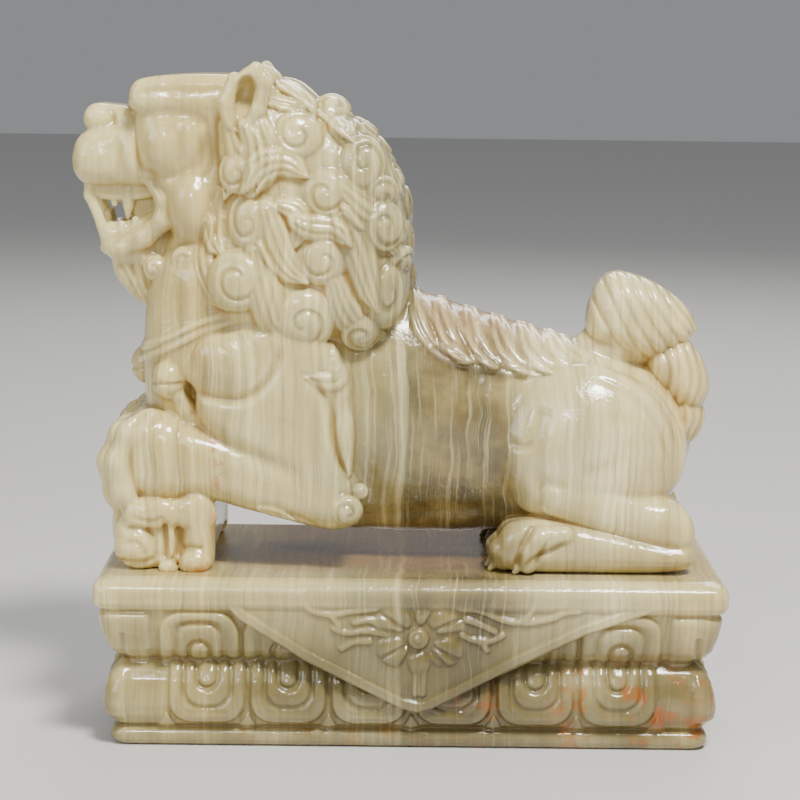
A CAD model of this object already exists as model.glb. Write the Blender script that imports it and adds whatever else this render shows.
from math import cos, hypot, pi, radians, sin

import bpy
import numpy as np
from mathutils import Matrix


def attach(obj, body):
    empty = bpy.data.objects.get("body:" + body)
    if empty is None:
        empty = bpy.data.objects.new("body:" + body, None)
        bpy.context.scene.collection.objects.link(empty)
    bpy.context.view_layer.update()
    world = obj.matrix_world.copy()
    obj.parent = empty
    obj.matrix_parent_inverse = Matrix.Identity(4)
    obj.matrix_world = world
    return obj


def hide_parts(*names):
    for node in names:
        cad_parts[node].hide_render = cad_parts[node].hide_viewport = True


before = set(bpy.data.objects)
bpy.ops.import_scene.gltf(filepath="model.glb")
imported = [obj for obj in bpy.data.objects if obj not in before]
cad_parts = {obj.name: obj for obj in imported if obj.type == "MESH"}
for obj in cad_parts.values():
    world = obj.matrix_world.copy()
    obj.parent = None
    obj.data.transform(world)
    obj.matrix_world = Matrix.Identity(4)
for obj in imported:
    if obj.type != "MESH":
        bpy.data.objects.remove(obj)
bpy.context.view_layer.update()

import openvdb
from mathutils import Matrix, Vector

# The lion and its plinth are carved on two grids of distances, in millimetres.
# Only the half with Y from 0 outwards is worked; the other half mirrors it.
MM = 0.001
VOXEL = 0.65
FAR = 9.0
WINDOW_MARGIN = 5.0
BURIED_OVERLAP = 1.5
SEAM_DEPTH, SEAM_WIDTH = 0.35, 0.6
TINY = 1e-6
SIDES = {"right": 1, "left": -1}
FACES = {"back": 1, "front": -1}


class Block:
    """Half a block of stone. Its lumps are carved apart, then melted into one skin."""

    def __init__(self, low, high):
        self.axes = [np.arange(a, b, VOXEL, dtype=np.float32) for a, b in zip(low, high)]
        self.lumps = []

    def span(self, low, high, margin):
        cuts = []
        for axis, a, b in zip(self.axes, low, high):
            first = max(0, int((a - margin - axis[0]) / VOXEL))
            last = min(len(axis), int((b + margin - axis[0]) / VOXEL) + 2)
            cuts.append(slice(first, last))
        return tuple(cuts)


class Lump:
    """One member of the carving: its grid window and its field, negative inside."""

    def __init__(self, block, name, low, high, blend, twins=None, nodes=(), step=1):
        self.name = name
        self.nodes = nodes or (name + "_*" if twins else name,)
        self.blend = blend
        self.twins = twins
        self.step = step
        self.cut = block.span(low, high, WINDOW_MARGIN)
        x, y, z = (axis[part] for axis, part in zip(block.axes, self.cut))
        self.x = x[:, None, None]
        self.y = y[None, :, None]
        self.z = z[None, None, :]
        self.f = np.full((len(x), len(y), len(z)), FAR, np.float32)
        block.lumps.append(self)

    def add(self, shape, blend=0.0):
        self.f = melt(self.f, shape, blend)

    def carve(self, shape, blend=0.0):
        self.f = -melt(-self.f, shape, blend)

    def keep(self, shape, blend):
        self.f = -melt(-self.f, -shape, blend)

    def press(self, depth):
        self.f += depth.astype(np.float32)


def melt(a, b, width):
    """The union of two fields, with a soft fillet of that width."""
    if width <= 0:
        return np.minimum(a, b)
    share = np.clip(0.5 + 0.5 * (b - a) / width, 0, 1)
    return b + (a - b) * share - width * share * (1 - share)


def ramp(value, low, high):
    t = np.clip((value - low) / (high - low), 0, 1)
    return t * t * (3 - 2 * t)


def hump(gap, width):
    return np.exp(-(gap / width) ** 2)


def oval(*spans):
    """The field of an ellipsoid or ellipse, from pairs of offset and radius."""
    near = np.sqrt(sum((gap / radius) ** 2 for gap, radius in spans))
    slope = np.sqrt(sum((gap / radius ** 2) ** 2 for gap, radius in spans))
    return near * (near - 1) / (slope + TINY)


def corner_of(a, b, radius):
    """The field of a corner between two walls, rounded to that radius."""
    return np.hypot(np.maximum(a, 0), np.maximum(b, 0)) + np.minimum(np.maximum(a, b), 0) - radius


# ---- solid shapes ----

def ball(c, centre, radii, tilt=0.0, turn=0.0):
    """An ellipsoid. tilt lifts its +X end, turn swings it towards +Y, in degrees."""
    x, y, z = c.x - centre[0], c.y - centre[1], c.z - centre[2]
    if turn:
        a = radians(turn)
        x, y = x * cos(a) + y * sin(a), y * cos(a) - x * sin(a)
    if tilt:
        a = radians(tilt)
        x, z = x * cos(a) + z * sin(a), z * cos(a) - x * sin(a)
    return oval((x, radii[0]), (y, radii[1]), (z, radii[2]))


def rod(c, points, blend=0.0):
    """A chain of tapered round bars through points (x, y, z, radius)."""
    shape = None
    for a, b in zip(points, points[1:]):
        run = [b[i] - a[i] for i in range(3)]
        length = sum(r * r for r in run) + 1e-9
        t = ((c.x - a[0]) * run[0] + (c.y - a[1]) * run[1] + (c.z - a[2]) * run[2]) / length
        t = np.clip(t, 0, 1)
        gap = (c.x - a[0] - run[0] * t) ** 2 + (c.y - a[1] - run[1] * t) ** 2
        gap = np.sqrt(gap + (c.z - a[2] - run[2] * t) ** 2) - (a[3] + (b[3] - a[3]) * t)
        shape = gap if shape is None else melt(shape, gap, blend)
    return shape


def loft(c, sections):
    """Elliptic sections along X: (x, z centre, half height, half width)."""
    keys = np.array(sections, float)
    x = c.x[:, 0, 0]
    middle, high, wide = (np.interp(x, keys[:, 0], keys[:, i])[:, None, None] for i in (1, 2, 3))
    ends = np.maximum(keys[0, 0] - c.x, c.x - keys[-1, 0])
    return np.maximum(oval((c.z - middle, high), (c.y, wide)), ends)


def soften(points, closed=False, rounds=2):
    """Cuts the corners of an outline or path."""
    for _ in range(rounds):
        ring = list(points) + [points[0]] if closed else list(points)
        new = [] if closed else [points[0]]
        for a, b in zip(ring, ring[1:]):
            new.append((a[0] * 0.75 + b[0] * 0.25, a[1] * 0.75 + b[1] * 0.25))
            new.append((a[0] * 0.25 + b[0] * 0.75, a[1] * 0.25 + b[1] * 0.75))
        if not closed:
            new.append(points[-1])
        points = new
    return points


def outline_gap(c, points):
    """Distance to a closed outline in the XZ plane, negative inside."""
    x, z = c.x[:, :, 0], c.z[:, 0, :]
    best = 1e9
    inside = False
    for (ax, az), (bx, bz) in zip(points, points[1:] + points[:1]):
        ex, ez = bx - ax, bz - az
        t = np.clip(((x - ax) * ex + (z - az) * ez) / (ex * ex + ez * ez + 1e-9), 0, 1)
        best = np.minimum(best, (x - ax - ex * t) ** 2 + (z - az - ez * t) ** 2)
        if az != bz:
            inside = inside ^ (((az > z) != (bz > z)) & (x < ax + (z - az) * ex / ez))
    return (np.where(inside, -1, 1) * np.sqrt(best))[:, None, :].astype(np.float32)


def slab(c, outline, near, far, edge, rounds=2):
    """A side profile with that thickness from near to far in Y and round edges."""
    flat = outline_gap(c, soften(outline, True, rounds) if rounds else outline)
    through = np.abs(c.y - (near + far) / 2) - (far - near) / 2
    return corner_of(flat + edge, through + edge, edge)


# ---- engraving ----

def follow(c, points):
    """For each (x, z): distance from a path, the side of it, and how far along, 0 to 1."""
    x, z = c.x[:, :, 0], c.z[:, 0, :]
    runs = [hypot(b[0] - a[0], b[1] - a[1]) for a, b in zip(points, points[1:])]
    total, done = sum(runs), 0.0
    best = np.full(np.broadcast(x, z).shape, 1e9)
    side = np.ones_like(best)
    along = np.zeros_like(best)
    for (a, b), run in zip(zip(points, points[1:]), runs):
        ex, ez = b[0] - a[0], b[1] - a[1]
        t = np.clip(((x - a[0]) * ex + (z - a[1]) * ez) / (run * run + 1e-9), 0, 1)
        gap = (x - a[0] - ex * t) ** 2 + (z - a[1] - ez * t) ** 2
        closer = gap < best
        best = np.where(closer, gap, best)
        side = np.where(closer, np.sign(ex * (z - a[1]) - ez * (x - a[0])), side)
        along = np.where(closer, (done + t * run) / total, along)
        done += run
    return np.sqrt(best)[:, None, :], side[:, None, :], along[:, None, :]


def groove(c, points, depth=1.0, width=1.2, inner=6.0, fade=8.0):
    """A groove along a path on the sides; a negative depth makes a ridge."""
    gap, _, along = follow(c, soften(points))
    ends = np.clip(np.minimum(along, 1 - along) * fade + 0.15, 0, 1)
    c.press(depth * ends * hump(gap, width) * ramp(c.y, inner - 3, inner + 3))


def lock(c, points, width, lift=1.5, strands=3, depth=0.7, inner=6.0, root=0.6):
    """A raised lock of hair along a path, with fine strands, tapering to its end."""
    gap, side, along = follow(c, soften(points))
    half = width * np.interp(along, [0, 0.35, 0.8, 1], [root, 1, 0.7, 0.15])
    across = side * gap / half
    within = np.clip((1 - np.abs(across)) * half / 0.6, 0, 1)
    crown = lift * np.sqrt(np.clip(1 - across ** 2, 0, 1))
    lines = depth * (0.5 + 0.5 * np.cos(pi * strands * (across + 1))) ** 2
    c.press((lines * within - crown) * ramp(c.y, inner - 3, inner + 3))


def land(c, start, direction):
    """Where a ray leaves a lump's skin, and the outward direction there."""
    axes = [c.x[:, 0, 0], c.y[0, :, 0], c.z[0, 0, :]]
    stride = VOXEL * 0.5 / np.linalg.norm(direction)
    step = [d * stride for d in direction]

    def at(point):
        index = [int(round((v - a[0]) / VOXEL)) for v, a in zip(point, axes)]
        return tuple(min(max(i, 1), len(a) - 2) for i, a in zip(index, axes))

    point = list(start)
    while c.f[at(point)] < 0:
        point = [p + s for p, s in zip(point, step)]
        if any(p < a[0] - 1 or p > a[-1] + 1 for p, a in zip(point, axes)):
            break
    i, j, k = at(point)
    reach = 3
    slope = []
    for axis in range(3):
        ahead, behind = [i, j, k], [i, j, k]
        ahead[axis] = min(ahead[axis] + reach, c.f.shape[axis] - 1)
        behind[axis] = max(behind[axis] - reach, 0)
        slope.append(float(c.f[tuple(ahead)] - c.f[tuple(behind)]))
    if j <= reach:
        slope[1] = 0.0
    return point, Vector(slope).normalized()


def curl(c, centre, normal, radius, rise, turns, hand, spin, depth, long=1.0):
    """A spiral boss: a low dome with a groove that winds in to its eye."""
    out = Vector(normal).normalized()
    up = Vector((0, 0, 1)) - out * out.z
    if up.length < 0.2:
        up = Vector((-1, 0, 0)) + out * out.x
    up.normalize()
    cross = up.cross(out)
    x, y, z = c.x - centre[0], c.y - centre[1], c.z - centre[2]
    u = x * cross.x + y * cross.y + z * cross.z
    v = (x * up.x + y * up.y + z * up.z) / long
    w = x * out.x + y * out.y + z * out.z
    flat = np.hypot(u, v)
    dome = oval((flat, radius), (w, rise))
    pitch = radius / turns
    phase = flat / pitch - hand * np.arctan2(v, u) / (2 * pi) + spin
    gap = np.abs(phase - np.round(phase)) * pitch
    rim = np.clip((radius - flat) / 2.0, 0, 1) * np.clip(flat / (pitch * 0.45), 0, 1)
    dome = dome + depth * hump(gap, 0.9) * rim * (w > -1)
    c.add(dome.astype(np.float32), 0.6)


# ---- from fields to meshes ----

def blur(field, reach):
    """A box average along each axis, the Y = 0 plane taken as a mirror."""
    for axis in range(3):
        pad = [(0, 0)] * 3
        pad[axis] = (reach, reach)
        mode = "reflect" if axis == 1 else "edge"
        total = np.cumsum(np.pad(field, pad, mode=mode), axis=axis, dtype=np.float64)
        count = 2 * reach
        ahead = np.take(total, range(count, total.shape[axis]), axis)
        behind = np.take(total, range(0, total.shape[axis] - count), axis)
        field = ((ahead - behind) / count).astype(np.float32)
    return field


def sample(field, low, points):
    """Field values at points of the half grid, with linear steps between samples."""
    place = (points - low) / VOXEL
    whole = np.floor(place).astype(int)
    for axis in range(3):
        whole[:, axis] = np.clip(whole[:, axis], 0, field.shape[axis] - 2)
    part = place - whole
    value = 0.0
    for corner in range(8):
        offset = [(corner >> axis) & 1 for axis in range(3)]
        weight = 1.0
        for axis in range(3):
            weight = weight * (part[:, axis] if offset[axis] else 1 - part[:, axis])
        i, j, k = (whole[:, axis] + offset[axis] for axis in range(3))
        value = value + weight * field[i, j, k]
    return value


def mesh_from(name, field, low, spacing, skin, mean, start):
    """A closed mesh where the field crosses zero, shaded by the whole skin's own slope."""
    grid = openvdb.FloatGrid(3.0)
    grid.copyFromArray(np.clip(field, -3, 3).astype(np.float32))
    points, _, quads = grid.convertToPolygons(isovalue=0.0, adaptivity=0.0)
    points = points * spacing + np.array(low)
    mirrored = points.copy()
    mirrored[:, 1] = np.abs(mirrored[:, 1])
    normals = np.empty_like(points)
    for axis in range(3):
        shift = np.zeros(3)
        shift[axis] = VOXEL * 0.75
        ahead, behind = mirrored + shift, mirrored - shift
        ahead[:, 1], behind[:, 1] = np.abs(ahead[:, 1]), np.abs(behind[:, 1])
        normals[:, axis] = sample(skin, start, ahead) - sample(skin, start, behind)
    normals[:, 1] *= np.where(points[:, 1] < 0, -1, 1)
    normals /= np.linalg.norm(normals, axis=1, keepdims=True) + 1e-9
    hollow = np.clip(-sample(mean, start, mirrored), -3, 3)
    corner = points[quads]
    face = np.cross(corner[:, 2] - corner[:, 0], corner[:, 3] - corner[:, 1])
    if np.sum(face * corner.mean(axis=1)) < 0:
        quads = quads[:, ::-1]
    mesh = bpy.data.meshes.new(name)
    mesh.vertices.add(len(points))
    mesh.vertices.foreach_set("co", (points * MM).astype(np.float32).ravel())
    mesh.loops.add(quads.size)
    mesh.loops.foreach_set("vertex_index", np.ascontiguousarray(quads, dtype=np.int32).ravel())
    mesh.polygons.add(len(quads))
    mesh.polygons.foreach_set("loop_start", np.arange(0, quads.size, 4, dtype=np.int32))
    mesh.update(calc_edges=True)
    mesh.shade_smooth()
    mesh.normals_split_custom_set_from_vertices(normals.tolist())
    layer = mesh.attributes.new("hollow", "FLOAT", "POINT")
    layer.data.foreach_set("value", hollow.astype(np.float32))
    return mesh


def piece(name, mesh, material, slot_name, nodes):
    thing = bpy.data.objects.new(name, mesh)
    bpy.context.collection.objects.link(thing)
    thing.data.materials.append(material)
    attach(thing, "root")
    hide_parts(*nodes)
    return thing


def cut_apart(block, skin, material, slots):
    """Shares the skin out among the lumps and makes each one a closed piece."""
    best = np.full(skin.shape, FAR, np.float32)
    second = np.full(skin.shape, FAR, np.float32)
    for lump in block.lumps:
        top, under = best[lump.cut], second[lump.cut]
        second[lump.cut] = np.minimum(under, np.maximum(top, lump.f))
        best[lump.cut] = np.minimum(top, lump.f)
    mean = blur(skin, max(2, int(round(2.6 / VOXEL))))
    start = np.array([axis[0] for axis in block.axes])
    for lump in block.lumps:
        rival = np.where(lump.f <= best[lump.cut], second[lump.cut], best[lump.cut])
        border = (lump.f - rival) / 2
        seam = SEAM_DEPTH * np.clip(border / SEAM_WIDTH, 0, 1)
        part = np.maximum(skin[lump.cut] + seam, border - BURIED_OVERLAP)
        part = np.where(lump.f > WINDOW_MARGIN - 0.5, np.maximum(part, 1.0), part)
        for axis in (0, 2):
            edge = [slice(None)] * 3
            for end in (0, -1):
                edge[axis] = end
                part[tuple(edge)] = np.maximum(part[tuple(edge)], 1.0)
        low = [axis[cut][0] for axis, cut in zip(block.axes, lump.cut)]
        if lump.twins:
            part[:, 0, :] = np.maximum(part[:, 0, :], 0.6)
            for side, hand in lump.twins.items():
                half = part if hand > 0 else part[:, ::-1, :]
                base = low if hand > 0 else [low[0], -block.axes[1][lump.cut[1]][-1], low[2]]
                name = f"{lump.name}_{side}"
                mesh = mesh_from(name, half, base, VOXEL, skin, mean, start)
                nodes = [node.replace("*", side) for node in lump.nodes]
                piece(name, mesh, material, slots(lump.name), nodes)
        else:
            whole = np.concatenate([part[:, :0:-1, :], part], axis=1)
            base = [low[0], -block.axes[1][lump.cut[1]][-1], low[2]]
            step = lump.step
            whole = whole[::step, ::step, ::step]
            mesh = mesh_from(lump.name, whole, base, VOXEL * step, skin, mean, start)
            piece(lump.name, mesh, material, slots(lump.name), lump.nodes)


def merge(block):
    """All lumps of a block melted into one skin."""
    skin = np.full([len(axis) for axis in block.axes], FAR, np.float32)
    for lump in block.lumps:
        skin[lump.cut] = melt(skin[lump.cut], lump.f, lump.blend)
    return skin


# ---- the plinth ----

HALF_LENGTH, HALF_WIDTH = 125.0, 55.0
FOOT = ((0.0, 9.0), (0.8, 7.4), (2.6, 6.2), (5.2, 6.2), (7.0, 7.2), (7.8, 9.2))
LOWER_ROW = ((7.6, 9.5), (9.5, 7.0), (13.0, 5.4), (17.0, 5.0), (22.0, 5.6), (27.0, 7.0), (31.0, 9.2),
    (34.8, 12.6))
UPPER_ROW = ((34.8, 12.6), (37.0, 9.0), (40.0, 6.8), (46.0, 4.9), (52.0, 3.8), (56.2, 3.4))
TOP_SLAB = ((55.6, 4.2), (56.4, 2.0), (57.6, 0.8), (59.4, 0.1), (64.0, 0.1), (66.0, 0.8), (67.8, 2.6),
    (69.0, 6.0))
COURSE_CORNER = 6.0
LONG_PETALS = (-80.0, -48.0, -16.0, 17.0, 49.5, 82.0)
LONG_TIPS = (-96.0, -64.0, -32.0, 0.8, 33.3, 65.8, 98.0)
UPPER_PETALS = (-83.0, -50.0, -17.0, 17.0, 50.0, 83.0)
END_PETALS = (16.2,)
END_TIPS = (0.0, 33.0)
# Each petal is three nested outlines: half width, level of its closed end, corner radius.
LOWER_NEST = ((15.4, 9.6, 10.0), (9.2, 16.8, 7.0), (4.2, 24.5, 4.0))
UPPER_NEST = ((16.2, 56.4, 10.0), (9.4, 51.5, 7.0), (4.2, 43.5, 4.0))
RELIEF_ROOT = 4.0


def course(c, inset):
    """One course of the plinth: a rounded rectangle whose inset changes with height."""
    keys = np.array(inset)
    shrink = np.interp(c.z[0, 0, :], keys[:, 0], keys[:, 1])[None, None, :]
    across = np.abs(c.x) - (HALF_LENGTH - shrink - COURSE_CORNER)
    deep = c.y - (HALF_WIDTH - shrink - COURSE_CORNER)
    side = corner_of(across, deep, COURSE_CORNER)
    level = np.maximum(keys[0, 0] - c.z, c.z - keys[-1, 0])
    return np.maximum(side, level).astype(np.float32)


def cup(c, across, half, foot, corner):
    """Distance to one U of a petal that opens upwards, negative inside."""
    return corner_of(np.abs(across) - (half - corner), foot + corner - c.z, corner)


def arch(c, across, half, top, corner):
    """The same for a petal that opens downwards."""
    return corner_of(np.abs(across) - (half - corner), c.z - (top - corner), corner)


def petal_relief(nested):
    """Height of a petal: raised bands between its nested lines, and a dome in the middle."""
    outer, inner, core = nested
    height = 2.3 * ramp(-outer, -0.3, 1.6)
    height = height - 1.5 * hump(inner, 1.15) - 1.5 * hump(core, 1.0) - 0.5 * hump(outer + 5.4, 0.9)
    return height + 0.7 * ramp(-core, 0.0, 3.0), outer


def walls(c, long_places, end_places):
    """For the long sides, then the ends: what lies along them, the way along, and where they rule."""
    long_side = np.broadcast_to(HALF_WIDTH - c.y < HALF_LENGTH - np.abs(c.x), c.f.shape)
    return (long_places, c.x, long_side), (end_places, c.y, ~long_side)


def raised(shell, height, outline):
    """A thin layer that stands out from a course within an outline, with its root inside."""
    return np.maximum(np.maximum(shell - height, outline), -shell - RELIEF_ROOT).astype(np.float32)


def petal_row(c, core, maker, long_places, end_places, nests):
    """Petals all round one course, as a raised shell on its core."""
    height = np.full(c.f.shape, 0, np.float32)
    within = np.full(c.f.shape, FAR, np.float32)
    for places, across, chosen in walls(c, long_places, end_places):
        for place in places:
            nested = [maker(c, across - place, half, level, corner) for half, level, corner in nests]
            relief, outer = petal_relief(nested)
            better = chosen & (outer < within)
            within = np.where(better, outer, within)
            height = np.where(better, relief, height)
    c.add(raised(core, height, within - 0.3))


def carve_plinth():
    block = Block((-130, 0, -3), (130, 60, 74))
    low, high = (-126, 0, 0), (126, 56, 69)
    foot = Lump(block, "plinth_foot_band", low, (126, 56, 8), 0.5)
    foot.add(course(foot, FOOT))
    lower = Lump(block, "lower_lotus_core", (-122, 0, 7), (122, 52, 35), 0.4)
    lower.add(course(lower, LOWER_ROW))
    petals = Lump(block, "lower_lotus_petals", (-122, 0, 7), (122, 54, 35), 0.3)
    shell = course(petals, LOWER_ROW)
    petal_row(petals, shell, cup, LONG_PETALS, END_PETALS, LOWER_NEST)
    corner_pad = np.maximum(np.maximum(110.5 - np.abs(petals.x), 37.0 - petals.y), 9.8 - petals.z)
    petals.add(raised(shell, 1.9 * ramp(-corner_pad, -0.2, 4.0), corner_pad), 0.2)

    tips = Lump(block, "lotus_leaf_tips", (-122, 0, 7), (122, 54, 16), 0.2)
    shell = course(tips, LOWER_ROW)
    for places, across, chosen in walls(tips, LONG_TIPS, END_TIPS):
        for place in places:
            side = np.abs(across - place) * 0.87 + (tips.z - 14.8) * 0.5
            leaf = raised(shell, 2.0 - 0.35 * np.abs(across - place), side)
            tips.add(np.where(chosen, leaf, np.float32(FAR)))

    upper = Lump(block, "upper_lotus_core", (-124, 0, 34), (124, 54, 56), 0.4)
    upper.add(course(upper, UPPER_ROW))
    rows = Lump(block, "upper_lotus_petals", (-124, 0, 34), (124, 56, 58), 0.3)
    shell = course(rows, UPPER_ROW)
    petal_row(rows, shell, arch, UPPER_PETALS, END_PETALS, UPPER_NEST)
    corner_pad = np.maximum(np.maximum(101.5 - np.abs(rows.x), 36.0 - rows.y), rows.z - 56.2)
    crease = 1.2 * hump(np.abs(rows.x) - 113, 1.1) * (rows.z < 47)
    rows.add(raised(shell, 1.8 * ramp(-corner_pad, -0.2, 3.0) - crease, corner_pad), 0.2)

    top = Lump(block, "plinth_top_slab", low, high, 0.5)
    top.add(course(top, TOP_SLAB))

    drape = Lump(block, "drape", (-74, 40, 14), (106, 56, 66), 0.3, FACES)
    cloth = [(-72, 64), (-72, 59.5), (-40, 38.3), (-4, 18.6), (3, 16.4), (9, 18.6), (40, 33.6), (68, 47.6),
        (85, 55.2), (104, 62.5), (104, 64)]
    drape.add(slab(drape, cloth, 40, 53.6, 1.0, 0))
    hem = Lump(block, "drape_hem", (-76, 46, 14), (108, 57, 66), 0.2, FACES)
    line = [(-70.5, 60), (-66, 55), (-40, 38.6), (-3, 20), (3, 18.4), (8, 20), (40, 37), (68, 50.6),
        (86, 57), (101, 62)]
    gap, _, _ = follow(hem, line)
    hem.add((np.hypot(gap / 2.3, (hem.y - 53.2) / 1.9) - 1) * 1.9)
    hem.press(0.5 * hump(gap, 0.7) * (hem.y > 53))

    flower = Lump(block, "flower", (-14, 50, 30), (22, 58, 62), 0.2, FACES)
    for x, z, wide, tall, lean in (
        (-6.5, 53.4, 8.6, 6.4, 30), (5, 55.4, 5.6, 4.2, 0), (14, 52.2, 7.6, 5.8, -20),
        (14, 41, 7.2, 6.2, 25), (3.5, 36.2, 4.6, 5.2, 0), (-6.5, 41, 7.4, 6.2, -25),
    ):
        flower.add(ball(flower, (x, 53.2, z), (wide, 2.4, tall), lean))
    for tip in (
        (-13, 57), (-12, 50), (0, 59), (9, 58), (20, 55), (21, 49), (20, 37), (14, 35), (-4, 34), (-13, 37),
    ):
        groove(flower, [(3, 46), ((3 + tip[0]) / 2, (47 + tip[1]) / 2), tip], 1.2, 0.8, 40, 20)
    from_eye = np.hypot(flower.x - 3, flower.z - 46.2)
    flower.f = np.where(from_eye < 5.2, np.float32(FAR), flower.f)
    flower.add(ball(flower, (3, 53.6, 46.2), (4.4, 2.6, 4.4)))
    flower.press(0.6 * hump(from_eye - 2, 0.6))

    vines = Lump(block, "vines", (-50, 50, 20), (72, 58, 64), 0.2, FACES)
    for path in (
        [(-14, 58), (-24, 57), (-30, 55.3), (-38, 56.5), (-42, 60)],
        [(-10, 48), (-18, 49.5), (-25, 48), (-30, 50)], [(-22, 52.5), (-16, 54), (-12, 51)],
        [(-27, 42), (-22, 45), (-16, 45)], [(19, 58.5), (27, 58), (38, 53), (45, 53.5), (48, 60)],
        [(20, 48), (25, 45.5), (32, 45.5), (36, 48)], [(27, 46), (30, 42)],
        [(45, 53), (55, 54.5), (60, 57.5), (66, 58)], [(2.2, 34), (2.0, 24)], [(5.4, 34), (5.0, 24)],
        [(22, 54), (28, 52), (33, 49.5)], [(-31, 55), (-28, 51)],
    ):
        vines.add(rod(vines, [(x, 53.4, z, 1.5) for x, z in soften(path, False, 1)]), 0.5)
    return block


# ---- the lion ----

def carve_body(block):
    nodes = ("torso", "rump", "chest", "throat")
    body = Lump(block, "body", (-116, 0, 76), (116, 36, 200), 3.0, nodes=nodes, step=2)
    body.add(loft(body, [(-55, 138, 50, 29), (-25, 131.5, 52.5, 31), (0, 128.3, 50.2, 31.5),
        (20, 124.8, 46.7, 31), (40, 122.4, 43.1, 31), (60, 120.5, 39, 32), (80, 118.5, 35.5, 32),
        (95, 117, 31, 29), (104, 116, 25, 24), (110, 116, 16, 16), (113.5, 116, 3, 4)]))
    front = [(-107, 178), (-108.5, 150), (-107, 128), (-96, 114), (-60, 106), (-28, 106), (-22, 160),
        (-30, 200), (-70, 205), (-98, 198)]
    body.add(slab(body, front, -33, 33, 22), 5)
    body.carve(ball(body, (-101, 36, 176), (11, 8, 20)), 4)
    body.carve(ball(body, (-86, 34, 140), (4.5, 9, 10)), 3)
    groove(body, [(-18, 152), (-14, 130), (-18, 108), (-12, 92)], 1.1, 5, 14)
    groove(body, [(22, 152), (28, 132), (26, 112)], 0.7, 5, 14)
    groove(body, [(-30, 86), (0, 90), (34, 92)], 1.2, 3, 10)
    return body


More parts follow.
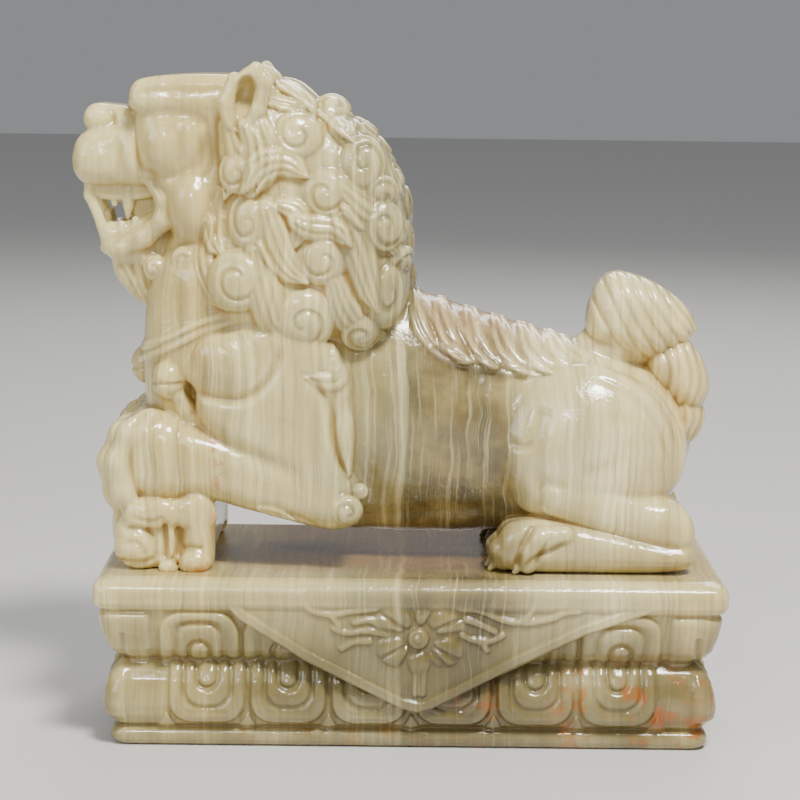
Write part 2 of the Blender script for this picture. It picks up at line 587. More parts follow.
def carve_foreparts(block):
    shoulder = Lump(block, "shoulder", (-94, 12, 84), (-18, 46, 174), 2.5, SIDES)
    cap = [(-62, 170), (-76, 162), (-88, 153), (-91, 146), (-85.5, 140.5), (-86, 131), (-79, 121),
        (-60, 112), (-49, 106), (-45, 91), (-32, 85), (-20, 88), (-19, 100), (-25, 112), (-22, 126),
        (-27, 134), (-26, 143), (-30, 156), (-42, 170)]
    shoulder.add(slab(shoulder, cap, 14, 41, 10))
    shoulder.keep(ball(shoulder, (-56, 6, 124), (64, 37.5, 88)), 4)
    shoulder.add(ball(shoulder, (-72, 35, 151), (15, 7.5, 11), -30), 3)
    lock(shoulder, [(-30, 160), (-27, 152), (-30, 144), (-42, 147)], 5, 1.5, 2, 0.6, 14)
    lock(shoulder, [(-29, 150), (-26.5, 138), (-26.5, 124), (-24.5, 108)], 4.5, 2.2, 1, 0.3, 14)
    groove(shoulder, [(-52, 160), (-54, 149), (-61, 140), (-71, 137), (-86, 141)], 1.9, 2.0, 14)
    groove(shoulder, [(-44, 149), (-37, 144), (-32.5, 136), (-31, 122), (-27, 108)], 1.7, 1.6, 14)
    groove(shoulder, [(-50, 132), (-52, 118), (-46, 106)], 0.6, 5, 14)

    arm = Lump(block, "foreleg", (-96, 8, 84), (-18, 43, 128), 3.0, SIDES)
    profile = [(-95, 127), (-84, 125.5), (-63, 118.5), (-46, 112), (-32, 105), (-22, 97), (-19.5, 90),
        (-28, 84.5), (-43, 86.5), (-54, 90), (-66, 92.5), (-80, 97), (-96, 98)]
    arm.add(slab(arm, profile, 10, 40.5, 10))
    arm.carve(slab(arm, [(-58, 60), (-58, 93), (-30, 84), (-20, 60)], 0, 20, 4), 4)
    lock(arm, [(-60, 94), (-52, 92), (-46, 89.5)], 2.6, 1.2, 2, 0.5, 12)
    groove(arm, [(-50, 93), (-44, 91.5), (-38, 88)], 0.8, 1.0, 14)

    elbow = Lump(block, "elbow_curl", (-34, 24, 85), (-16, 45, 103), 0.4, SIDES)
    curl(elbow, (-25.5, 39, 94), (0.1, 1, -0.1), 6.4, 4.6, 1.3, -1, 0.1, 0.9)
    curl(elbow, (-20.5, 35.5, 101), (0.3, 1, 0.3), 3.4, 2.6, 1.2, 1, 0.3, 0.4)

    paw = Lump(block, "forepaw", (-128, 3, 88), (-82, 43, 136), 1.0, SIDES)
    paw.add(slab(paw, [(-92, 129), (-104, 134), (-113, 129), (-117, 116), (-116, 100), (-106, 94),
        (-86, 96), (-84, 112), (-85, 124)], 4, 40.5, 12, 3))
    paw.add(ball(paw, (-97, 22, 113), (13, 18.5, 18)), 3)
    for at_y, reach, drop in ((8.5, 0, 0), (17.5, 1.5, -1), (26.5, 0.5, 0), (35, -3.5, 2)):
        toe = [(-104, at_y * 0.9 + 2, 127 + drop, 4.6), (-114.5 - reach, at_y, 121 + drop, 5.4),
            (-119.5 - reach, at_y, 110 + drop, 5.3), (-117.5 - reach, at_y, 98 + drop, 4.8),
            (-112 - reach, at_y, 90 + drop, 3.4)]
        paw.add(rod(paw, toe, 2.5), 1.4)
        claw = [(-118.5 - reach, at_y, 95 + drop, 3.0), (-114.5 - reach, at_y, 87 + drop, 1.3)]
        paw.add(rod(paw, claw), 0.5)
    groove(paw, [(-89, 131), (-93, 121), (-92.5, 108), (-95, 97)], 1.0, 1.8, 12)
    groove(paw, [(-103, 134), (-111, 124), (-111, 108), (-105, 96)], 1.3, 1.8, 14)
    groove(paw, [(-98, 133), (-101, 120), (-100, 106), (-97, 96)], 0.5, 2.5, 14)
    groove(paw, [(-84, 125), (-84.5, 112), (-83, 99)], 1.0, 1.6, 12, 20)

    cub = Lump(block, "cub", (-120, 0, 66), (-76, 42, 100), 1.2)
    cub.add(slab(cub, [(-114, 98), (-116, 84), (-117, 69), (-79, 69), (-78.5, 84), (-80, 98)], -38, 38, 5))
    for x, y, z, size in (
        (-107, 38, 92, 6.5), (-99, 38.5, 93, 6), (-90.5, 38.5, 92.5, 6.5), (-83.5, 36, 92, 6.5),
    ):
        cub.add(ball(cub, (x, y, z - 1), (size, 3.6, size)), 2.2)
    cub.add(ball(cub, (-108, 35, 78), (10, 7, 9)), 2)
    cub.add(rod(cub, [(-85, 33, 95, 7), (-85, 34, 84, 6.5), (-85, 34, 74, 7)], 2), 2)
    cub.add(rod(cub, [(-104, 33, 94, 6), (-111, 33, 84, 6), (-107, 34, 76, 6.5)], 3), 2)
    cub.add(ball(cub, (-86, 38, 72.5), (7, 5, 5)), 1)
    cub.add(ball(cub, (-96, 39, 70.5), (4, 3.5, 3.2)), 0.6)
    cub.add(rod(cub, [(-95.5, 38, 89, 2.0), (-94.5, 38.5, 76, 1.6)]), 1)
    for y in (8, 24):
        cub.add(ball(cub, (-115, y, 84), (5, 8, 11)), 1.5)
    groove(cub, [(-97.5, 90), (-97, 82), (-97.5, 73)], 1.6, 1.3, 24)
    groove(cub, [(-92.5, 89), (-91.5, 82), (-93, 74)], 1.5, 1.2, 24)
    groove(cub, [(-113, 86), (-106, 87), (-101, 82), (-101, 73)], 1.3, 1.3, 24)
    groove(cub, [(-113, 80), (-107, 81), (-105, 75)], 1.0, 1.2, 24)
    groove(cub, [(-116, 73), (-108, 72.5), (-101, 74)], 1.2, 1.2, 24)
    groove(cub, [(-91, 77.5), (-88, 79), (-82, 78)], 1.2, 1.2, 24)
    groove(cub, [(-110, 91), (-103, 88.5), (-97, 91)], 0.8, 1.2, 24)
    groove(cub, [(-90.5, 88), (-90.5, 80), (-92, 70)], 1.0, 1.4, 24)


def carve_hind(block):
    haunch = Lump(block, "haunch", (32, 10, 84), (114, 44, 154), 2.5, SIDES)
    thigh = [(52, 150), (41, 139), (35, 124), (35, 108), (42, 92), (56, 88), (75, 90), (98, 92), (109, 104),
        (111, 118), (104, 133), (92, 146), (72, 153)]
    haunch.add(slab(haunch, thigh, 12, 41, 13))
    haunch.keep(ball(haunch, (70, 4, 116), (47, 37.5, 43)), 4)
    groove(haunch, [(53, 136), (49.5, 124), (49, 110), (53, 99)], 2.0, 3.4, 14)
    haunch.press(-1.6 * hump(haunch.x - 41.5, 5.5) * hump(haunch.z - 112, 14) * ramp(haunch.y, 14, 24))
    groove(haunch, [(75, 152), (90, 145), (100, 134), (106, 118)], 0.8, 1.2, 12)
    groove(haunch, [(72, 147), (86, 141), (96, 130), (102, 114)], 0.5, 1.2, 12)
    groove(haunch, [(38, 121), (43, 119.5), (48, 121)], 0.9, 1.8, 14)
    groove(haunch, [(80, 136), (84, 124), (80, 112), (66, 109)], 1.0, 3.6, 14)

    leg = Lump(block, "hind_leg", (40, 16, 72), (116, 43, 114), 1.2, SIDES)
    shank = [(50, 107), (62, 110), (76, 106.5), (92, 99.5), (104, 99.5), (112, 91), (114, 82), (108, 73.5),
        (90, 79), (78, 83), (60, 89), (50, 93)]
    leg.add(slab(leg, shank, 14, 40.5, 10))
    groove(leg, [(58, 108), (76, 103), (92, 96.5)], -0.6, 2.5, 16)
    groove(leg, [(53, 99), (66, 97), (80, 91), (96, 86)], 0.4, 3.5, 16)

    foot = Lump(block, "hind_paw", (30, 14, 66), (116, 45, 90), 0.8, SIDES)
    foot.add(slab(foot, [(36, 88), (46, 90.5), (60, 90), (80, 86), (98, 82), (112, 82), (113, 73),
        (107, 69), (60, 69), (36, 69), (32.5, 76)], 17, 42, 8))
    for at_y, reach in ((20, 0), (27, -2), (34, -1.0), (39.5, 8.5)):
        toe = [(52 + reach, at_y, 85, 4.0), (42 + reach, at_y, 83.5, 4.8), (37 + reach, at_y, 78, 4.6),
            (37.5 + reach, at_y, 73.5, 4.0)]
        foot.add(rod(foot, toe, 2), 1.0)
        foot.add(rod(foot, [(36 + reach, at_y, 74, 2.6), (32.5 + reach, at_y, 70, 1.1)]), 0.4)
    groove(foot, [(61, 83), (55, 79), (48, 77), (44, 71)], 1.2, 1.1, 30)
    groove(foot, [(49, 89), (43.5, 82), (41.5, 72)], 1.6, 1.2, 26)
    groove(foot, [(55, 86), (52, 80), (49, 73)], 1.1, 1.0, 30)


def carve_tail(block):
    base = Lump(block, "tail_base", (64, 0, 140), (104, 18, 170), 2.0)
    base.add(rod(base, [(72, 0, 150, 11), (84, 0, 158, 12), (96, 0, 158, 10)], 2))
    upper = Lump(block, "tail_tuft_upper", (66, 0, 148), (118, 20, 190), 0.8)
    crown = [(69.5, 160), (71, 175), (76, 184.5), (83, 187), (95, 183.5), (104, 178.5), (113, 170.5),
        (114.5, 161), (106, 153), (98, 151), (88, 150), (76, 156)]
    upper.add(slab(upper, crown, -17, 17, 14))
    for top, knee, end in (
        ((70, 181), (78, 163), (92, 147)), ((75, 186), (83.5, 165), (96, 149)),
        ((80, 188), (88, 167), (101, 151)), ((85, 188), (93.5, 168), (105, 154)),
        ((90, 187), (99, 169.5), (109, 157)), ((96, 185), (104, 171), (112, 161)),
        ((101, 181), (108, 171.5), (114, 164)),
    ):
        groove(upper, [top, knee, end], 0.9, 0.9, 3, 20)
    middle = Lump(block, "tail_tuft_middle", (88, 0, 128), (124, 18, 166), 0.8)
    middle.add(slab(middle, [(98, 158), (108, 162), (115, 156), (120, 146), (121, 137), (116, 129),
        (106, 131), (98, 140), (94, 150)], -16, 16, 12))
    lower = Lump(block, "tail_tuft_lower", (98, 0, 108), (122, 17, 142), 0.8)
    lower.add(slab(lower, [(106, 138), (114, 138), (120, 131), (118.5, 122), (112, 114.5), (105, 118),
        (103, 128)], -14, 14, 10))
    for shift in (0, 4.5, 9, 13):
        groove(middle, [(100 + shift, 158), (104 + shift, 145), (101 + shift * 0.9, 132)], 0.9, 0.9, 3, 20)
    for shift in (0, 4, 8):
        groove(lower, [(107 + shift, 138), (111 + shift, 129), (107 + shift * 0.6, 116)], 0.9, 0.9, 3, 20)
    curl(upper, (110.5, 0, 167.5), (1, 0, 0.7), 8, 3.0, 1.6, 1, 0.0, 0.8)
    curl(middle, (117, 0, 144), (1, 0, 0.1), 8.5, 2.8, 1.6, 1, 0.0, 0.8)


def carve_spine(block, body):
    locks = Lump(block, "spine_locks", (-4, 0, 142), (74, 28, 184), 0.6)
    shell = body.f[slice_in(body, locks)]
    ridge = [(-2, 186), (-2, 158), (6, 152), (20, 147), (44, 144), (60, 150), (76, 156), (76, 170), (40, 176)]
    locks.add(np.maximum(np.maximum(shell + 0.9, -shell - 6), outline_gap(locks, soften(ridge, True))))
    for x, z, length, fall in ((4, 174, 19, 22), (15, 169, 18, 19), (27, 166, 18, 18), (38, 163, 17, 15),
                               (49, 160.5, 17, 12), (60, 158.5, 14, 8)):
        lock(locks, [(x - 4, z + 4), (x + 1, z - fall * 0.45), (x + length * 0.45, z - fall * 0.85),
            (x + length, z - fall)], 6.4, 2.5, 3, 0.7, 0)
    for x in (2, 13, 24, 35, 46, 57):
        groove(locks, [(x, 186), (x + 3.5, 166), (x + 9, 157)], 0.6, 1.0, -4, 20)


def slice_in(big, small):
    """The part of one lump's window that another lump's window covers."""
    return tuple(slice(b.start - a.start, b.stop - a.start) for a, b in zip(big.cut, small.cut))


def carve_mane(block):
    mane = Lump(block, "mane", (-96, 0, 148), (6, 44, 268), 1.5)
    mass = [(-80, 256), (-60, 259.5), (-47, 257), (-41, 251.5), (-28, 245), (-17, 237), (-12, 229),
        (-7, 219), (-3.5, 208), (-2, 197), (-1.5, 185), (-2, 174), (-8, 163), (-24, 157), (-44, 153.5),
        (-62, 158), (-78, 166), (-87, 178), (-89, 192), (-81, 202), (-79, 220), (-80, 240)]
    mane.add(slab(mane, mass, -36.5, 36.5, 21, 3))
    mane.add(ball(mane, (-45, 0, 205), (40, 38, 46)), 6)
    mane.add(ball(mane, (-60, 10, 178), (26, 30, 22)), 6)
    for path, width, lift in (
        ([(-74, 244), (-72, 234), (-71, 224), (-74, 216)], 5.5, 2.9),
        ([(-66, 244), (-63, 236), (-63, 226), (-68, 218)], 5.5, 2.9),
        ([(-60, 246), (-56, 236), (-56, 226), (-61, 219)], 5.0, 2.5),
        ([(-64, 220), (-60, 229), (-50, 231), (-42, 225)], 7.0, 3.3),
        ([(-60, 256), (-52, 257), (-45, 254), (-40, 247)], 7.5, 2.9),
        ([(-52, 262), (-40, 257), (-30, 248), (-24, 238)], 7.0, 2.7),
        ([(-58, 212), (-55, 201), (-50, 190), (-42, 184)], 7.5, 3.3),
        ([(-82, 206), (-86, 194), (-82, 181), (-73, 173)], 7.0, 3.1),
        ([(-62, 196), (-58, 178), (-55, 165), (-44, 157)], 7.5, 3.3),
        ([(-30, 222), (-22, 214), (-12, 207), (-4, 192)], 7.5, 3.3),
        ([(-30, 244), (-22, 239), (-15, 230), (-9, 214)], 7.5, 3.1),
        ([(-28, 210), (-22, 197), (-19, 186), (-14, 172)], 7.5, 3.3),
        ([(-31, 184), (-28, 173), (-21, 163), (-8, 160)], 7.0, 2.9),
        ([(-77, 218), (-80, 209), (-79, 199), (-74, 193)], 5.5, 2.7),
        ([(-46, 208), (-40, 205), (-31, 205), (-25, 199)], 6.0, 2.9),
        ([(-52, 214), (-46, 212), (-44, 206), (-46, 198)], 5.0, 2.5),
    ):
        lock(mane, path, width, lift, 4 if width >= 7 else 3, 0.65, 5)

    curls = Lump(block, "mane_curls", (-88, 4, 150), (4, 47, 262), 0.3, SIDES)
    middle = (-45, 0, 205)
    for x, z, size, turns, hand, spin, long in (
        (-46, 240, 10.0, 1.4, 1, 0.1, 1.0), (-35, 218.5, 10.2, 1.4, -1, 0.4, 1.0),
        (-64, 207, 9.0, 1.3, 1, 0.2, 1.35), (-36, 193, 10.8, 1.5, 1, 0.0, 1.0),
        (-68.5, 184.5, 12.6, 1.6, -1, 0.3, 1.0), (-43.5, 169, 13.0, 1.6, 1, 0.6, 1.0),
        (-11.5, 180, 8.6, 1.3, 1, 0.2, 1.7), (-20.5, 230, 9.0, 1.3, 1, 0.5, 1.25),
        (-33, 250, 7.4, 1.2, -1, 0.1, 1.0), (-12, 206, 8.4, 1.3, -1, 0.3, 1.2),
        (-69, 226, 7.6, 1.1, 1, 0.2, 1.1), (-21, 164, 8.2, 1.3, -1, 0.3, 1.0),
    ):
        spot, out = land(mane, (x, 6, z), (0, 1, 0))
        out = (out + Vector((0, 0.6, 0))).normalized()
        curl(curls, (spot[0], spot[1] - 1.8, spot[2]), out, size, size * 0.54, turns, hand, spin, 1.1, long)

    back = Lump(block, "mane_curls_back", (-62, 0, 156), (8, 34, 268), 0.3)
    for lift, wide, size, hand in (
        (-28, 0, 9.0, 1), (-8, 14, 8.0, -1), (12, 0, 9.0, 1), (-20, 32, 7.0, 1), (4, 38, 7.5, 1),
        (27, 17, 8.0, -1), (42, 0, 8.5, 1), (22, 44, 6.8, 1), (56, 18, 7.5, -1), (68, 0, 7.5, 1),
        (46, 36, 6.6, 1),
    ):
        a, b = radians(lift), radians(wide)
        spot, out = land(mane, middle, (cos(a) * cos(b), sin(b), sin(a) * cos(b)))
        if wide == 0:
            out = Vector((out.x, 0, out.z)).normalized()
        spot = [p - o * 1.6 for p, o in zip(spot, out)]
        curl(back, spot, out, size * 1.1, size * 0.5, 1.5, hand, 0.2, 1.0)
    return mane


def carve_head(block):
    head = Lump(block, "head", (-108, 0, 178), (-44, 30, 264), 1.5)
    skull = [(-110.5, 250), (-109, 260), (-72, 262.5), (-50, 258), (-44, 230), (-50, 205), (-72, 194),
        (-90, 192), (-97, 202), (-99.5, 213), (-102, 222), (-109, 226), (-111, 238)]
    head.add(slab(head, skull, -26, 26, 10, 3))
    head.add(ball(head, (-90, 0, 192), (13.5, 21, 13)), 5)
    groove(head, [(-84, 248), (-79, 238), (-80, 226), (-84, 222)], 1.0, 1.8, 12)
    groove(head, [(-107, 227), (-99, 223.5), (-90, 224), (-84, 231), (-82, 241)], 1.2, 2.4, 12)
    groove(head, [(-110, 248), (-100, 249.5), (-90, 248), (-82, 243)], 0.9, 2.4, 12)

    brow = Lump(block, "brow", (-114, 0, 244), (-58, 29, 266), 3.5)
    brow.add(slab(brow, [(-112.5, 249), (-112.5, 258), (-107, 262.8), (-72, 264), (-60, 260), (-62, 250),
        (-78, 248), (-92, 250), (-102, 247.5)], -26.5, 26.5, 5, 3))
    brow.carve(ball(brow, (-114, 0, 254), (5, 5, 14)), 3)
    brow.carve(ball(brow, (-90, 0, 268), (20, 8, 6)), 4)
    groove(brow, [(-110, 256), (-100, 257.5), (-88, 256), (-74, 258)], 0.4, 2.0, 14)
    groove(brow, [(-94, 262), (-92, 255), (-93, 249)], 0.5, 2.4, 14)

    muzzle = Lump(block, "muzzle", (-138, 0, 214), (-98, 24, 251), 1.2)
    snout = [(-104, 248), (-112, 245.5), (-120, 243), (-129, 241.5), (-133.5, 238.5), (-135.5, 234),
        (-136, 227.5), (-134.5, 222.5), (-130.5, 219.3), (-120, 219.8), (-106, 219), (-99, 219), (-99, 240)]
    muzzle.add(slab(muzzle, snout, -20, 20, 7.5))
    muzzle.add(ball(muzzle, (-124, 12.5, 229), (11, 8.6, 9.0)), 2)
    muzzle.add(ball(muzzle, (-112, 15, 231), (5.5, 7, 10.5)), 1.2)
    muzzle.carve(ball(muzzle, (-136, 0, 228), (4, 2.2, 10)), 2)
    groove(muzzle, [(-106, 249), (-109, 241), (-109, 231), (-105, 224)], 0.9, 1.6, 8)
    groove(muzzle, [(-101, 246), (-104.5, 238), (-104, 230), (-101, 224)], 1.3, 1.4, 8)
    groove(muzzle, [(-117.5, 240), (-116.5, 232), (-117.5, 222)], 0.8, 1.3, 8)

    nose = Lump(block, "nose", (-133, 0, 235), (-104, 18, 254), 2.4)
    nose.add(slab(nose, [(-131.5, 242), (-131.2, 248.5), (-128, 251.8), (-121.5, 251.2), (-113, 250.5),
        (-104, 248), (-104, 240), (-124, 239.5)], -14, 14, 4.4, 3))
    nose.add(ball(nose, (-125.5, 11, 245.5), (6.2, 5.4, 5.6)), 1)
    nose.add(ball(nose, (-115, 12, 245), (5, 5, 5)), 1)
    nose.carve(ball(nose, (-132.5, 5.2, 244.2), (4.2, 2.5, 2.4)), 0.6)
    nose.carve(ball(nose, (-119.5, 0, 254), (2.2, 14, 3.2)), 1.0)
    groove(nose, [(-121.5, 250), (-118.5, 245), (-120, 240)], 1.0, 1.1, 4)

    jaw = Lump(block, "lower_jaw", (-131, 0, 184), (-90, 22, 223), 1.2)
    chin = [(-124.5, 205), (-126, 198), (-124.5, 192), (-117, 187), (-104, 187), (-93, 190), (-91, 203),
        (-96, 213), (-101, 211.5), (-110, 206.5), (-118, 204.5)]
    jaw.add(slab(jaw, chin, -14.5, 14.5, 5))
    jaw.add(rod(jaw, [(-104.5, 17, 221, 2.4), (-99, 19, 214, 3.4), (-99.5, 19, 206, 3.9),
        (-107, 16, 199, 3.8), (-116, 12, 194, 3.2), (-123.5, 4, 194, 3.0)], 2), 0.8)
    jaw.carve(slab(jaw, [(-122, 214), (-122, 203), (-112, 203.5), (-98, 210), (-96, 218)], -9.5, 9.5, 3), 1)
    jaw.add(slab(jaw, [(-113.5, 222), (-113, 213), (-114, 205), (-96, 202), (-95, 222)], -10.5, 10.5, 3), 1)
    jaw.add(slab(jaw, [(-129.5, 222), (-129, 214.5), (-121, 213.2), (-110, 213.2), (-98, 216), (-98, 222)],
        -13.5, 13.5, 2), 1)

    fangs = Lump(block, "fangs", (-132, 0, 194), (-104, 19, 224), 0.4)
    fangs.add(rod(fangs, [(-128.8, 11.5, 221, 2.9), (-129.3, 12, 215.5, 2.5), (-126.5, 12, 208.5, 2.0),
        (-124.8, 11.5, 203.5, 2.1), (-122.5, 11, 197, 2.6)], 0.6))
    fangs.add(rod(fangs, [(-114, 11, 217, 3.2), (-114, 11, 211, 2.3), (-114.4, 11, 206.5, 0.9)]), 0.3)
    fangs.add(rod(fangs, [(-119.5, 11, 216, 2.4), (-119.6, 11, 212.0, 1.3)]), 0.3)
    for y in (1.9, 5.8):
        fangs.add(rod(fangs, [(-130, y, 220.5, 2.2), (-130.4, y, 215.5, 1.6)]), 0.2)
        fangs.add(rod(fangs, [(-122.5, y, 203, 2.1), (-123, y, 208, 1.4)]), 0.2)
    for x, z in ((-116.5, 203.6), (-111, 205.6)):
        fangs.add(rod(fangs, [(x, 12.5, z - 3, 2.2), (x, 12.5, z, 1.7)]), 0.8)

    cheek = Lump(block, "cheek", (-104, 9, 194), (-78, 33, 226), 2.0, SIDES)
    cheek.add(ball(cheek, (-87, 20, 212), (10.2, 10.8, 14.5), 8))

    eye = Lump(block, "eye", (-108, 14, 224), (-82, 31, 252), 3.5, SIDES)
    eye.add(ball(eye, (-98, 20, 236), (8.6, 8.6, 10.6)))
    eye.add(ball(eye, (-88.5, 20, 238), (5, 7, 9.5)), 2)

    ear = Lump(block, "ear", (-79, 20, 236), (-52, 41, 271), 0.8, SIDES)
    lobe = [(-62.8, 268.5), (-69.5, 264), (-75, 256), (-76.5, 249), (-73, 243), (-66.5, 240), (-61, 246),
        (-57.5, 254), (-56, 262)]
    ear.add(slab(ear, lobe, 23, 37.5, 3.4))
    ear.carve(ball(ear, (-67.0, 39, 252.8), (5.6, 10.5, 11.2), -14), 1.2)
    ear.add(rod(ear, [(-62, 35, 266, 2.6), (-58.6, 34.5, 261, 3.0), (-61, 34.5, 250, 2.8),
        (-66, 34, 242.5, 2.6)], 2), 1)
    ear.add(rod(ear, [(-70.5, 34, 262, 2.6), (-73.6, 34, 253, 3.0), (-72, 33, 245, 2.8)], 2), 1)

    beard = Lump(block, "beard", (-126, 0, 166), (-96, 16, 198), 1.0)
    beard.add(slab(beard, [(-122, 196), (-121.5, 186.5), (-119, 180.5), (-112, 173), (-104, 169),
        (-98, 176), (-99, 192), (-108, 196)], -12, 12, 6))
    beard.add(ball(beard, (-103, 0, 190), (13, 15, 11)), 3)
    for shift in (0, 4.5, 9, 13.5):
        groove(beard, [(-119 + shift, 195), (-116 + shift * 0.9, 184), (-109 + shift * 0.5, 173)], 0.9, 0.9,
            -4, 20)

    tufts = Lump(block, "jaw_curls", (-112, 6, 176), (-78, 31, 204), 0.6)
    curl(tufts, (-102.5, 17.5, 187), (-0.35, 1, 0), 5.4, 4.0, 1.4, 1, 0.1, 0.9)
    curl(tufts, (-90, 23.5, 190.5), (-0.2, 1, 0), 6.4, 4.6, 1.6, -1, 0.2, 1.0)
    tufts.add(rod(tufts, [(-96, 20, 188.5, 3), (-88, 20, 193, 5), (-83, 20, 198, 5)]), 1)
    tufts.add(rod(tufts, [(-106, 12, 190, 4), (-100, 14, 183, 3.2), (-97, 17, 179, 1.6)]), 1)


def carve_collar(block):
    band = Lump(block, "collar_band", (-112, 0, 140), (-54, 36, 180), 0.6)
    strap = soften([(-112, 152), (-100, 157), (-78, 168), (-56, 174)])
    gap, _, _ = follow(band, strap)
    chest = block.lumps[0].f[slice_in(block.lumps[0], band)]
    band.add(np.hypot(np.maximum(gap - 1.6, 0), chest + 1.0) - 2.4)
    groove(band, strap, 0.9, 0.8, 3, 40)
    bells = Lump(block, "collar_bells", (-116, 0, 130), (-86, 38, 158), 0.4)
    for x, y, z, size in ((-108, 0, 146, 8), (-96.5, 28, 144, 8.2)):
        bells.add(ball(bells, (x, y, z), (size * 0.85, size * 0.9, size)), 0.5)
        bells.press(0.9 * hump(bells.z - z + 1, 0.8) * (np.hypot(bells.x - x, bells.y - y) < size + 2))
    tassels = Lump(block, "collar_tassels", (-104, 10, 118), (-82, 33, 142), 0.5)
    tassels.add(rod(tassels, [(-93, 30, 138, 3.2), (-90, 28, 132, 4.0), (-90, 26, 123, 5.0)], 2))
    groove(tassels, [(-92, 137), (-90.5, 130), (-91, 121)], 0.7, 0.8, 14)


def carve_lion():
    block = Block((-140, 0, 64), (125, 47, 272))
    body = carve_body(block)
    carve_foreparts(block)
    carve_hind(block)
    carve_tail(block)
    carve_spine(block, body)
    carve_mane(block)
    carve_head(block)
    carve_collar(block)
    return block


# ---- the stone ----

class Nodes:
    """Short calls for adding linked shader nodes; a kind is named without its ShaderNode prefix."""

    def __init__(self, material):
        material.use_nodes = True
        self.tree = material.node_tree
        self.tree.nodes.clear()

    def add(self, kind, inputs=None, **settings):
        node = self.tree.nodes.new("ShaderNode" + kind)
        for name, value in settings.items():
            setattr(node, name, value)
        for name, value in (inputs or {}).items():
            if isinstance(value, bpy.types.NodeSocket):
                self.tree.links.new(value, node.inputs[name])
            else:
                node.inputs[name].default_value = value
        return node

    def maths(self, operation, a, b=0.0):
        return self.add("Math", {0: a, 1: b}, operation=operation).outputs[0]

    def times(self, value, *others):
        for other in others:
            value = self.maths("MULTIPLY", value, other)
        return value

    def spread(self, value, low, high, start=0.0, end=1.0):
        names = {"Value": value, "From Min": low, "From Max": high, "To Min": start, "To Max": end}
        return self.add("MapRange", names).outputs[0]

    def blend(self, share, a, b, kind="MIX"):
        inputs = {0: share, 6: a, 7: b}
        node = self.add("Mix", inputs, data_type="RGBA", blend_type=kind, clamp_factor=True)
        return node.outputs[2]

    def noise(self, vector, scale, detail=3.0, rough=0.5):
        inputs = {"Vector": vector, "Scale": scale, "Detail": detail, "Roughness": rough}
        return self.add("TexNoise", inputs).outputs["Fac"]

    def stops(self, value, colours):
        node = self.add("ValToRGB", {"Fac": value})
        marks = node.color_ramp.elements
        while len(marks) < len(colours):
            marks.new(0.5)
        for mark, (place, colour) in zip(marks, colours):
            mark.position = place
            mark.color = (*colour, 1)
        return node.outputs["Color"]


# The stone's own colours along X, in millimetres from the snout to the tail.
FIRST_MARK, LAST_MARK = -136, 126
LENGTHWAYS = (
    (-136, (0.70, 0.66, 0.50)), (-112, (0.68, 0.64, 0.48)), (-96, (0.66, 0.60, 0.42)),
    (-82, (0.64, 0.57, 0.38)), (-66, (0.66, 0.62, 0.46)), (-44, (0.64, 0.60, 0.46)),
    (-30, (0.56, 0.53, 0.41)), (-22, (0.45, 0.43, 0.33)), (-7, (0.37, 0.35, 0.26)),
    (-5, (0.60, 0.58, 0.49)), (-3, (0.24, 0.225, 0.16)), (7, (0.22, 0.19, 0.125)), (19, (0.22, 0.18, 0.11)),
    (26, (0.16, 0.14, 0.09)), (35, (0.28, 0.25, 0.18)), (48, (0.60, 0.57, 0.46)), (64, (0.70, 0.67, 0.56)),
    (84, (0.72, 0.68, 0.55)), (104, (0.70, 0.63, 0.47)), (126, (0.66, 0.59, 0.42)),
)
CREAM = (0.80, 0.78, 0.67, 1)
PALEST = (0.86, 0.83, 0.70, 1)
TAN = (0.38, 0.31, 0.19, 1)
MOSS = (0.40, 0.38, 0.29, 1)
HONEY = (0.58, 0.52, 0.34, 1)
PINK = (0.60, 0.47, 0.40, 1)
OCHRE = (0.50, 0.37, 0.17, 1)
RUST = (0.52, 0.24, 0.06, 1)
OLIVE = (0.26, 0.235, 0.15, 1)
BROWN = (0.40, 0.27, 0.13, 1)
PAW_TAN = (0.42, 0.38, 0.26, 1)


def banding(n, mm, layer, x, y, z):
    """The stone's layers: broad colours along X, then broad, pale and dark bands, calmer at the head."""
    places = [((mark - FIRST_MARK) / (LAST_MARK - FIRST_MARK), colour) for mark, colour in LENGTHWAYS]
    colour = n.stops(n.spread(layer, FIRST_MARK, LAST_MARK), places)
    thin = n.add("CombineXYZ", {0: layer, 1: n.times(y, 0.03), 2: n.times(z, 0.03)}).outputs[0]
    fine = n.noise(thin, 0.55, 4.0, 0.62)
    broad = n.noise(thin, 0.13, 2.0, 0.5)
    calm = n.times(n.spread(z, 165, 205), n.spread(x, -45, -72))
    banded = n.maths("SUBTRACT", 1.0, n.times(calm, 0.6))
    colour = n.blend(n.spread(broad, 0.35, 0.72, 0.0, 0.42), colour, MOSS)
    colour = n.blend(n.times(n.spread(fine, 0.52, 0.74, 0.0, 0.6), banded), colour, CREAM)
    colour = n.blend(n.times(n.spread(fine, 0.48, 0.27, 0.0, 0.55), banded), colour, TAN)
    cloud = n.noise(mm, 0.06, 4.0, 0.6)
    return n.blend(n.spread(cloud, 0.42, 0.68, 0.0, 0.45), colour, HONEY)


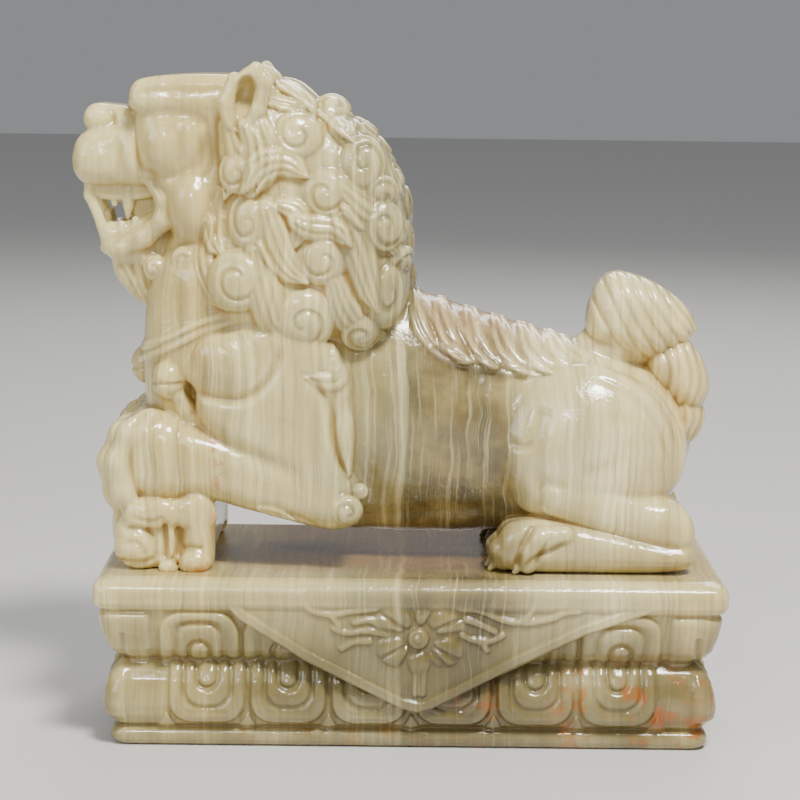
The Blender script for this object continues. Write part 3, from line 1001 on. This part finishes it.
def plinth_stains(n, mm, colour, x, y, z):
    """Olive low down and brown on the bed under the belly; rust at the right, middle and foot."""
    patches = n.spread(n.noise(mm, 0.03, 2.0), 0.35, 0.6, 0.45, 1.0)
    colour = n.blend(n.times(n.spread(z, 60, 38, 0.15, 0.75), patches), colour, OLIVE)
    bed = n.times(n.spread(x, -75, -50), n.spread(x, 60, 25), n.spread(z, 67.5, 69), n.spread(y, -44, -20))
    colour = n.blend(n.times(bed, 0.6), colour, BROWN)
    right = n.times(n.spread(x, 52, 66), n.spread(z, 44, 18))
    middle = n.times(n.spread(x, 12, 22), n.spread(x, 42, 30), n.spread(z, 30, 16))
    foot = n.times(n.spread(x, -118, -60), n.spread(z, 12, 5, 0.0, 0.5))
    return colour, n.maths("MAXIMUM", n.maths("MAXIMUM", right, middle), foot)


def lion_stains(n, layer, colour, x, z):
    """Tan hind paws; rust in one vein through the shoulder and round the cub."""
    colour = n.blend(n.times(n.spread(z, 92, 74, 0.0, 0.5), n.spread(x, 20, 40)), colour, PAW_TAN)
    from_vein = n.maths("ABSOLUTE", n.maths("ADD", layer, 75.0))
    vein = n.times(n.spread(from_vein, 4.5, 1.0, 0.0, 0.8), n.spread(z, 132, 120))
    cub = n.times(n.spread(z, 78, 69, 0.0, 0.8), n.spread(x, -60, -76))
    return colour, n.maths("MAXIMUM", vein, cub)


def onyx(name, sheen_rough, plinth):
    """Banded onyx: wavy layers across X, yellow in the hollows, rust here and there, polished."""
    material = bpy.data.materials.new(name)
    n = Nodes(material)
    place = n.add("TexCoord").outputs["Object"]
    mm = n.add("VectorMath", {0: place, 1: (1000, 1000, 1000)}, operation="MULTIPLY").outputs[0]
    x, y, z = n.add("SeparateXYZ", {0: mm}).outputs
    wave = n.maths("SUBTRACT", n.noise(mm, 0.022, 2.0), 0.5)
    ripple = n.maths("SUBTRACT", n.noise(mm, 0.12, 3.0), 0.5)
    layer = n.maths("ADD", x, n.maths("ADD", n.times(wave, 10.0), n.times(ripple, 1.8)))
    colour = banding(n, mm, layer, x, y, z)
    blush = n.times(n.spread(z, 148, 172), n.spread(x, -2, 8), n.spread(x, 66, 46), 0.55)
    colour = n.blend(blush, colour, PINK)
    hollow = n.add("Attribute", attribute_name="hollow").outputs["Fac"]
    colour = n.blend(n.spread(hollow, 0.08, 0.8, 0.0, 0.7), colour, OCHRE)
    colour = n.blend(n.spread(hollow, -0.15, -0.9, 0.0, 0.3), colour, PALEST)
    if plinth:
        colour, where = plinth_stains(n, mm, colour, x, y, z)
    else:
        colour, where = lion_stains(n, layer, colour, x, z)
    rust = n.spread(n.noise(mm, 0.09, 5.0, 0.65), 0.50, 0.68)
    colour = n.blend(n.times(rust, where, 0.85), colour, RUST)
    colour = n.add("Gamma", {"Color": colour, "Gamma": 2.1}).outputs[0]
    colour = n.blend(1.0, colour, (1.66, 1.60, 1.28, 1), "MULTIPLY")
    scratch = n.noise(mm, 1.6, 4.0, 0.7)
    wear = n.spread(hollow, 0.0, 1.0, sheen_rough, sheen_rough + 0.2)
    rough = n.maths("ADD", n.spread(scratch, 0.3, 0.8, -0.03, 0.09), wear)
    grain = n.maths("ADD", n.noise(mm, 0.35, 3.0, 0.55), n.times(scratch, 0.12))
    bump = n.add("Bump", {"Height": grain, "Strength": 0.35, "Distance": 0.0009}).outputs[0]
    shader = n.add("BsdfPrincipled", {
        "Base Color": colour, "Roughness": rough, "IOR": 1.56, "Normal": bump,
        "Subsurface Weight": 0.35, "Subsurface Radius": (1.0, 0.8, 0.45), "Subsurface Scale": 0.0035,
        "Coat Weight": 0.35, "Coat Roughness": 0.08,
    })
    out = n.add("OutputMaterial")
    n.tree.links.new(shader.outputs[0], out.inputs["Surface"])
    return material


def plain(name, colour, rough):
    material = bpy.data.materials.new(name)
    n = Nodes(material)
    shader = n.add("BsdfPrincipled", {"Base Color": colour, "Roughness": rough})
    out = n.add("OutputMaterial")
    n.tree.links.new(shader.outputs[0], out.inputs["Surface"])
    return material


# ---- camera, floor and lights ----

def set_camera():
    yaw, pitch, roll = radians(0.2546), radians(9.0744), radians(0.6808)
    ahead = Vector((sin(yaw) * cos(pitch), cos(yaw) * cos(pitch), -sin(pitch)))
    right = Vector((cos(yaw), -sin(yaw), 0))
    up = right.cross(ahead)
    across = right * cos(roll) + up * sin(roll)
    top = up * cos(roll) - right * sin(roll)
    data = bpy.data.cameras.new("camera")
    data.lens = 99.0
    data.sensor_width = 36.0
    data.clip_start = 0.01
    camera = bpy.data.objects.new("camera", data)
    turn = Matrix((across, top, -ahead)).transposed().to_4x4()
    camera.matrix_world = Matrix.Translation((-0.008937, -0.888758, 0.274148)) @ turn
    bpy.context.collection.objects.link(camera)
    bpy.context.scene.camera = camera


def set_floor():
    mesh = bpy.data.meshes.new("floor")
    reach = 6.0
    mesh.from_pydata([(-reach, -reach, 0), (reach, -reach, 0), (reach, reach, 0), (-reach, reach, 0)], [],
        [(0, 1, 2, 3)])
    floor = bpy.data.objects.new("floor", mesh)
    floor.data.materials.append(plain("floor_paint", (0.62, 0.61, 0.59, 1), 0.6))
    bpy.context.collection.objects.link(floor)


def set_light(name, place, size, power, colour=(1, 1, 1)):
    data = bpy.data.lights.new(name, "AREA")
    data.shape = "RECTANGLE"
    data.size, data.size_y = size
    data.energy = power
    data.color = colour
    lamp = bpy.data.objects.new(name, data)
    lamp.location = place
    aim = Vector((0, 0, 0.13)) - Vector(place)
    lamp.rotation_euler = aim.to_track_quat("-Z", "Y").to_euler()
    bpy.context.collection.objects.link(lamp)


def set_lights():
    set_light("key", (0.35, -0.7, 1.35), (0.35, 0.25), 34, (1.0, 0.98, 0.94))
    set_light("fill", (-1.3, -0.9, 0.8), (0.8, 0.8), 9, (0.96, 0.98, 1.0))
    set_light("back", (0.3, 1.3, 1.2), (1.2, 0.6), 14)
    set_light("spark", (-0.25, -1.1, 0.75), (0.06, 0.06), 3.0)
    world = bpy.data.worlds.new("studio")
    world.use_nodes = True
    world.node_tree.nodes["Background"].inputs["Color"].default_value = (0.9, 0.92, 0.95, 1)
    world.node_tree.nodes["Background"].inputs["Strength"].default_value = 0.30
    bpy.context.scene.world = world


set_camera()
set_floor()
set_lights()

plinth_stone = onyx("plinth_onyx", 0.14, True)
lion_stone = onyx("lion_onyx", 0.11, False)

plinth = carve_plinth()
cut_apart(plinth, merge(plinth), plinth_stone, lambda name: "plinth_onyx")

HEAD_PIECES = ("head", "brow", "muzzle", "nose", "lower_jaw", "fangs", "cheek", "eye", "ear", "beard",
    "jaw_curls", "mane")
lion = carve_lion()
cut_apart(lion, merge(lion), lion_stone,
    lambda name: "head_onyx" if name.startswith(HEAD_PIECES) else "body_onyx")
